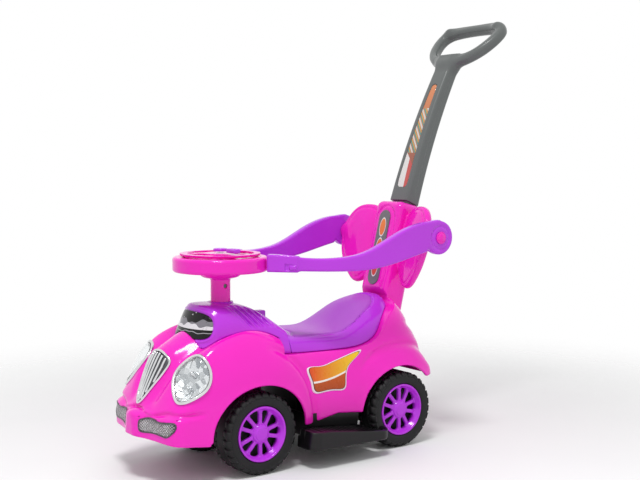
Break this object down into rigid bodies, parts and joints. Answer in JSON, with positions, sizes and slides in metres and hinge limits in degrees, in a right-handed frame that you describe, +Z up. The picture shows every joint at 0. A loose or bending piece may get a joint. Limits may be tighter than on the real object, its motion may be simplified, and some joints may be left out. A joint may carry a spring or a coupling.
{
  "type": "push car with handle",
  "caption": "Ride-on push car for a toddler: moulded body on small wheels, steering wheel in a tray, swing-up guard arms, winged backrest and a long push handle.",
  "frame": {"origin": "on the floor under the middle of the car's overall length and width", "axes": "+X forward, +Y to the car's left, +Z up"},
  "size_m": [0.8502, 0.3276, 0.8546],
  "materials": {
    "body_pink": "glossy moulded polypropylene",
    "trim_purple": "satin gloss moulded polypropylene",
    "handle_grey": "satin moulded plastic",
    "handle_band": null,
    "tyre_black": "blow-moulded plastic tread",
    "chassis_black": "fine grained plastic",
    "panel_black": "glossy print",
    "chrome_trim": "vacuum plated plastic",
    "mesh_dark": "dark plated plastic mesh",
    "lens_clear": "clear polystyrene",
    "steel": "zinc plated"
  },
  "bodies": {
    "chassis": {"body_shell": "body_pink", "chassis_pan": "chassis_black", "steering_bridge": "chassis_black", "storage_bin": "chassis_black", "dash_cowl": "trim_purple", "windscreen_panel": "panel_black", "nose_grille": "chrome_trim", "foot_board": "chassis_black", "backrest": "body_pink", "backrest_panel": "handle_grey", "guard_tray": "body_pink", "rear_axle": "steel", "rear_axle_nuts": "steel", "kingpins": "steel", "column_bush": "chassis_black", "seat_hinge_pin": "steel", "body_screws": "steel", "backrest_screws": "steel", "headlight_bezel_left": "chrome_trim", "headlight_lens_left": "lens_clear", "headlight_reflector_left": "chrome_trim", "bumper_mesh_left": "mesh_dark", "pivot_cap_left": "trim_purple", "headlight_bezel_right": "chrome_trim", "headlight_lens_right": "lens_clear", "headlight_reflector_right": "chrome_trim", "bumper_mesh_right": "mesh_dark", "pivot_cap_right": "trim_purple"},
    "steering": {"steering_rod": "steel", "steering_column": "body_pink", "steering_wheel": "body_pink", "column_screw": "steel"},
    "horn": {"horn_button": "trim_purple"},
    "tie_bar": {"tie_bar": "chassis_black"},
    "seat": {"seat_lid": "trim_purple"},
    "handle": {"push_handle": "handle_grey", "handle_panel": "handle_band"},
    "knuckle_left": {"knuckle_left": "chassis_black", "stub_axle_left": "steel", "stub_nut_left": "steel"},
    "guard_left": {"guard_arm_left": "trim_purple"},
    "wheel_front_left": {"tyre_front_left": "tyre_black", "rim_front_left": "trim_purple"},
    "wheel_rear_left": {"tyre_rear_left": "tyre_black", "rim_rear_left": "trim_purple"},
    "knuckle_right": {"knuckle_right": "chassis_black", "stub_axle_right": "steel", "stub_nut_right": "steel"},
    "guard_right": {"guard_arm_right": "trim_purple"},
    "wheel_front_right": {"tyre_front_right": "tyre_black", "rim_front_right": "trim_purple"},
    "wheel_rear_right": {"tyre_rear_right": "tyre_black", "rim_rear_right": "trim_purple"}
  },
  "joints": [
    {"name": "steering_turn", "type": "hinge", "parent": "chassis", "child": "steering", "pos_m": [0.237, 0, 0.3], "axis": [0, 0, 1], "range_deg": [-20, 20]},
    {"name": "horn_press", "type": "slide", "parent": "steering", "child": "horn", "axis": [0, 0, -1], "range_m": [0, 0.002], "stiffness_N_per_m": 800, "springref_m": -0.0005},
    {"name": "tie_bar_slide", "type": "slide", "parent": "chassis", "child": "tie_bar", "axis": [0, 1, 0], "range_m": [-0.0107, 0.0107]},
    {"name": "seat_lift", "type": "hinge", "parent": "chassis", "child": "seat", "pos_m": [-0.115, 0, 0.28], "axis": [0, -1, 0], "range_deg": [0, 60]},
    {"name": "handle_pull", "type": "slide", "parent": "chassis", "child": "handle", "axis": [-0.3907, 0, 0.9205], "range_m": [0, 0.055]},
    {"name": "knuckle_left_turn", "type": "hinge", "parent": "chassis", "child": "knuckle_left", "pos_m": [0.225, 0.048, 0.074], "axis": [0, 0, 1], "range_deg": [-20.2, 20.2]},
    {"name": "guard_left_lift", "type": "hinge", "parent": "chassis", "child": "guard_left", "pos_m": [-0.165, 0.15, 0.41], "axis": [0, -1, 0], "range_deg": [0, 100]},
    {"name": "wheel_front_left_spin", "type": "hinge", "parent": "knuckle_left", "child": "wheel_front_left", "pos_m": [0.225, 0.097, 0.074], "axis": [0, 1, 0], "continuous": true},
    {"name": "wheel_rear_left_spin", "type": "hinge", "parent": "chassis", "child": "wheel_rear_left", "pos_m": [-0.099, 0.097, 0.074], "axis": [0, 1, 0], "continuous": true},
    {"name": "knuckle_right_turn", "type": "hinge", "parent": "chassis", "child": "knuckle_right", "pos_m": [0.225, -0.048, 0.074], "axis": [0, 0, 1], "range_deg": [-20.2, 20.2]},
    {"name": "guard_right_lift", "type": "hinge", "parent": "chassis", "child": "guard_right", "pos_m": [-0.165, -0.15, 0.41], "axis": [0, -1, 0], "range_deg": [0, 100]},
    {"name": "wheel_front_right_spin", "type": "hinge", "parent": "knuckle_right", "child": "wheel_front_right", "pos_m": [0.225, -0.097, 0.074], "axis": [0, 1, 0], "continuous": true},
    {"name": "wheel_rear_right_spin", "type": "hinge", "parent": "chassis", "child": "wheel_rear_right", "pos_m": [-0.099, -0.097, 0.074], "axis": [0, 1, 0], "continuous": true}
  ],
  "couplings": [
    {"joint": "tie_bar_slide", "follows": "steering_turn", "m_per_rad": -0.03},
    {"joint": "knuckle_left_turn", "follows": "steering_turn", "ratio": 1},
    {"joint": "knuckle_right_turn", "follows": "steering_turn", "ratio": 1}
  ]
}
